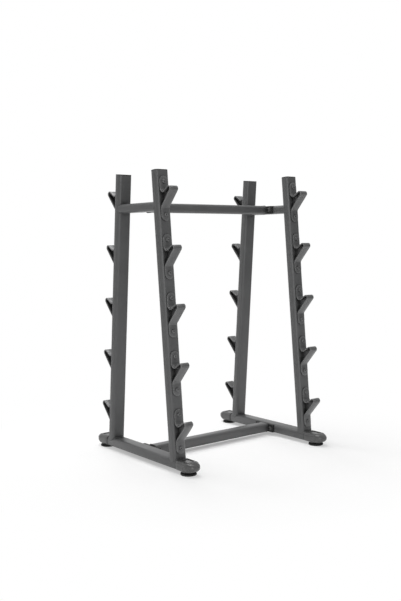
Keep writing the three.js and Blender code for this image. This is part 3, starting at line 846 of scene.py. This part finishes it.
def add_cap_recess(bm):
    """Sinks a shallow panel with rounded corners into the cap's flat top."""
    top = largest_face(bm, (0, 1, 0))
    bmesh.ops.inset_individual(bm, faces=[top], thickness=RECESS_RIM, use_even_offset=True)
    floor = extruded(bm, [top], (0, -RECESS_DEPTH, 0))[0]
    drops = [edge for vert in floor.verts for edge in vert.link_edges if edge not in floor.edges[:]]
    soften(bm, drops, RECESS_CORNER, RECESS_CORNER_STEPS)
    level = TUBE_DEPTH / 2 + CAP_SWELL - HAIR
    lip = [edge for edge in sharp_edges(bm, over=60) if min(vert.co.y for vert in edge.verts) > level]
    soften(bm, lip, RECESS_LIP)


def make_rail_cap(side, x, end, turn):
    """A cap on the rail's end, run out from the seam to its nose, with the boss that carries the foot."""
    full_width = TUBE_WIDTH + 2 * CAP_SWELL
    full_height = TUBE_DEPTH + 2 * CAP_SWELL
    bm = rounded_face(full_width, full_height, TUBE_CORNER + CAP_SWELL)
    body_start = RAIL_END_Y + SEAT_GAP + NECK_LENGTH
    recess_start = RAIL_END_Y + RECESS_FROM_SEAM - body_start
    nose_start = CAP_NOSE_Y - NOSE_DEPTH - body_start
    lead = drawn_out(bm, bm.faces[:], (0, 0, recess_start))
    lead = extruded(bm, lead, (0, 0, RECESS_LENGTH))
    lead = extruded(bm, lead, (0, 0, nose_start - recess_start - RECESS_LENGTH))
    add_cap_nose(bm, lead, full_width, full_height)
    bmesh.ops.remove_doubles(bm, verts=bm.verts[:], dist=SAME_POINT)
    bmesh.ops.recalc_face_normals(bm, faces=bm.faces[:])
    rim = [edge for edge in sharp_edges(bm, over=80) if max(vert.co.z for vert in edge.verts) < MM]
    soften(bm, rim, CAP_BACK_EDGE)
    add_cap_neck(bm)
    add_cap_recess(bm)
    seat = Matrix.Translation((0, -body_start, RAIL_Z)) @ ALONG_Y
    boss = turned_body(BOSS_PROFILE, FOOT_STEPS)
    add_body(bm, boss, seat.inverted() @ Matrix.Translation((0, -FOOT_Y, 0)))
    place = side_place(x, turn) @ seat
    add_piece(f"end_cap_{side}_{end}", bm, "cap_plastic", place, [f"rail_cap_{side}_{end}"])


def make_foot(side, x, end, turn):
    """A thin rubber pad under the cap's boss, with a groove round its side."""
    place = side_place(x, turn) @ Matrix.Translation((0, -FOOT_Y, 0))
    bm = turned_body(FOOT_PROFILE, FOOT_STEPS, closed=True)
    add_piece(f"rubber_foot_{side}_{end}", bm, "foot_rubber", place, [f"foot_{side}_{end}"])


def make_lid(side, x, end, turn):
    """A black lid on the upright's top, on a plug inside the tube."""
    bm = solid_bar(TUBE_WIDTH, TUBE_DEPTH, TUBE_CORNER, LID_THICKNESS)
    top = [edge for edge in sharp_edges(bm) if min(vert.co.z for vert in edge.verts) > 0]
    soften(bm, top, LID_EDGE, segments=3)
    under = [face for face in bm.faces if face.normal.z < -FACING]
    bmesh.ops.inset_individual(bm, faces=under, thickness=TUBE_WALL + PLUG_GAP, use_even_offset=True)
    extruded(bm, under, (0, 0, -PLUG_DEPTH))
    place = upright_place(x, turn) @ Matrix.Translation((0, 0, UPRIGHT_TOP - LID_THICKNESS / 2))
    add_piece(f"post_lid_{side}_{end}", bm, "lid_plastic", place, [f"upright_cap_{side}_{end}"])


# Assembly

def make_joint(level, side, x, turn, z, tube_height):
    """A saddle on the inner side of a rail or brace, with its two bolts."""
    make_saddle(level, side, x, turn, z, tube_height)
    for letter, y in (("a", -BOLT_Y), ("b", BOLT_Y)):
        make_saddle_bolt(level, side, letter, x, turn, y, z)


for side, x in SIDES.items():
    inward = 0.0 if side == "left" else math.pi
    make_rail(side, x)
    make_brace(side, x)
    make_joint("bottom", side, x, inward, RAIL_Z, TUBE_DEPTH)
    make_joint("top", side, x, inward, BRACE_Z, BRACE_HEIGHT)
    make_beam_bead("bottom", RAIL_Z, side, inward)
    make_beam_bead("top", BRACE_Z, side, inward)
    for end, turn in ENDS.items():
        make_upright(side, x, end, turn)
        make_lid(side, x, end, turn)
        make_foot_bead(side, x, end, turn)
        make_brace_bead(side, x, end, turn)
        make_rail_cap(side, x, end, turn)
        make_foot(side, x, end, turn)
        make_foot_screw(side, x, end, turn)
        for level in range(HOOKS_PER_UPRIGHT):
            make_hook(side, x, end, turn, level)
make_beam("bottom", RAIL_Z)
make_beam("top", BRACE_Z)


# Floor, light and camera

def seen_or_mirrored(tree):
    """One where a surface is seen by the camera, in gloss or through glass; none where it gives light."""
    path = tree.nodes.new("ShaderNodeLightPath")
    direct = math_node(tree, "ADD", path.outputs["Is Camera Ray"], path.outputs["Is Glossy Ray"])
    return math_node(tree, "ADD", direct, path.outputs["Is Transmission Ray"], clamp=True)


def floor_finish():
    """White that takes the rack's shadow near it and turns plain with its distance from the middle."""
    plain_span = (0.3, 1.4)
    plain_share = (0.28, 1.0)
    material = bpy.data.materials.new("white_floor")
    material.use_nodes = True
    tree = material.node_tree
    shader = tree.nodes["Principled BSDF"]
    shader.inputs["Base Color"].default_value = (*grey(0.95), 1.0)
    shader.inputs["Roughness"].default_value = 0.9
    shader.inputs["Specular IOR Level"].default_value = 0.0
    distance = node(tree, "ShaderNodeVectorMath", operation="LENGTH")
    tree.links.new(tree.nodes.new("ShaderNodeTexCoord").outputs["Object"], distance.inputs[0])
    plainness = mapped(tree, distance.outputs["Value"], plain_span, plain_share)
    white = node(tree, "ShaderNodeEmission", Strength=1.0)
    blend = tree.nodes.new("ShaderNodeMixShader")
    tree.links.new(math_node(tree, "MULTIPLY", seen_or_mirrored(tree), plainness), blend.inputs["Fac"])
    tree.links.new(shader.outputs["BSDF"], blend.inputs[1])
    tree.links.new(white.outputs["Emission"], blend.inputs[2])
    tree.links.new(blend.outputs["Shader"], tree.nodes["Material Output"].inputs["Surface"])
    return material


def make_floor():
    """A round floor under the rack."""
    bm = bmesh.new()
    bmesh.ops.create_circle(bm, cap_ends=True, segments=FLOOR_STEPS, radius=FLOOR_RADIUS)
    mesh = bpy.data.meshes.new("floor")
    bm.to_mesh(mesh)
    bm.free()
    mesh.materials.append(floor_finish())
    floor = bpy.data.objects.new("floor", mesh)
    bpy.context.scene.collection.objects.link(floor)


def make_world():
    """A soft surround, white to the camera.

    Gloss also shows a studio's darker front right, ceiling and rear left corner. Each has a span of
    directions over which its darkness changes between two levels.
    """
    lighting = 0.2
    gloss_darkness = 0.75
    front_span, front_levels = (0.1, 0.6), (0.0, 1.0)
    height_span, height_levels = (0.2, 0.55), (1.0, 0.0)
    ceiling_span, ceiling_levels = (0.35, 0.6), (0.0, 0.6)
    corner_span, corner_levels = (-1.1, -1.4), (0.0, 0.4)
    world = bpy.data.worlds.new("studio")
    bpy.context.scene.world = world
    world.use_nodes = True
    tree = world.node_tree
    background = tree.nodes["Background"]
    background.inputs["Color"].default_value = (1, 1, 1, 1)
    parts = tree.nodes.new("ShaderNodeSeparateXYZ")
    tree.links.new(tree.nodes.new("ShaderNodeTexCoord").outputs["Generated"], parts.inputs[0])
    upward = parts.outputs["Z"]
    front_right = math_node(tree, "SUBTRACT", parts.outputs["X"], parts.outputs["Y"])
    frontal = mapped(tree, front_right, front_span, front_levels)
    level = mapped(tree, math_node(tree, "ABSOLUTE", upward), height_span, height_levels)
    opening = math_node(tree, "MULTIPLY", frontal, level)
    ceiling = mapped(tree, upward, ceiling_span, ceiling_levels)
    corner = mapped(tree, front_right, corner_span, corner_levels)
    dark = math_node(tree, "MAXIMUM", math_node(tree, "MAXIMUM", opening, ceiling), corner)
    in_gloss = tree.nodes.new("ShaderNodeLightPath").outputs["Is Glossy Ray"]
    dimmed = math_node(tree, "MULTIPLY", math_node(tree, "MULTIPLY", dark, in_gloss), gloss_darkness)
    shown = math_node(tree, "SUBTRACT", seen_or_mirrored(tree), dimmed)
    strength = math_node(tree, "MULTIPLY_ADD", shown, 1 - lighting, lighting)
    tree.links.new(strength, background.inputs["Strength"])


def add_softbox(name, spot, size, power, mirrored=True):
    """A square area lamp aimed at the middle of the rack, with or without a reflection in the gloss."""
    lamp = bpy.data.lights.new(name, "AREA")
    lamp.size = size
    lamp.energy = power
    holder = bpy.data.objects.new(name, lamp)
    aim = Vector((0, 0, HEIGHT / 2)) - Vector(spot)
    holder.rotation_euler = aim.to_track_quat("-Z", "Y").to_euler()
    holder.location = spot
    holder.visible_glossy = mirrored
    bpy.context.scene.collection.objects.link(holder)


def make_camera():
    """The photograph's viewing angle; the focal length is fitted in its 401 x 601 frame."""
    focal_pixels = 796.5
    frame_height_pixels = 601
    spot = Vector((-2.768, -3.4371, 1.1374))
    heading = math.radians(38.15)
    tilt = math.radians(4.18)
    roll = math.radians(-0.66)
    camera = bpy.data.cameras.new("camera")
    camera.sensor_fit = "VERTICAL"
    camera.lens = camera.sensor_height * focal_pixels / frame_height_pixels
    holder = bpy.data.objects.new("camera", camera)
    turn = Matrix.Rotation(-heading, 4, "Z") @ Matrix.Rotation(math.pi / 2 - tilt, 4, "X")
    holder.matrix_world = Matrix.Translation(spot) @ turn @ Matrix.Rotation(roll, 4, "Z")
    bpy.context.scene.collection.objects.link(holder)
    bpy.context.scene.camera = holder


make_floor()
make_world()
add_softbox("top_softbox", spot=(0.0, 0.6, 5.0), size=3.5, power=140)
add_softbox("back_softbox", spot=(0.0, 3.2, 4.4), size=3.0, power=150, mirrored=False)
add_softbox("front_softbox", spot=(-1.6, -3.85, 1.6), size=2.5, power=43)
make_camera()
bpy.context.scene.view_settings.view_transform = "Standard"
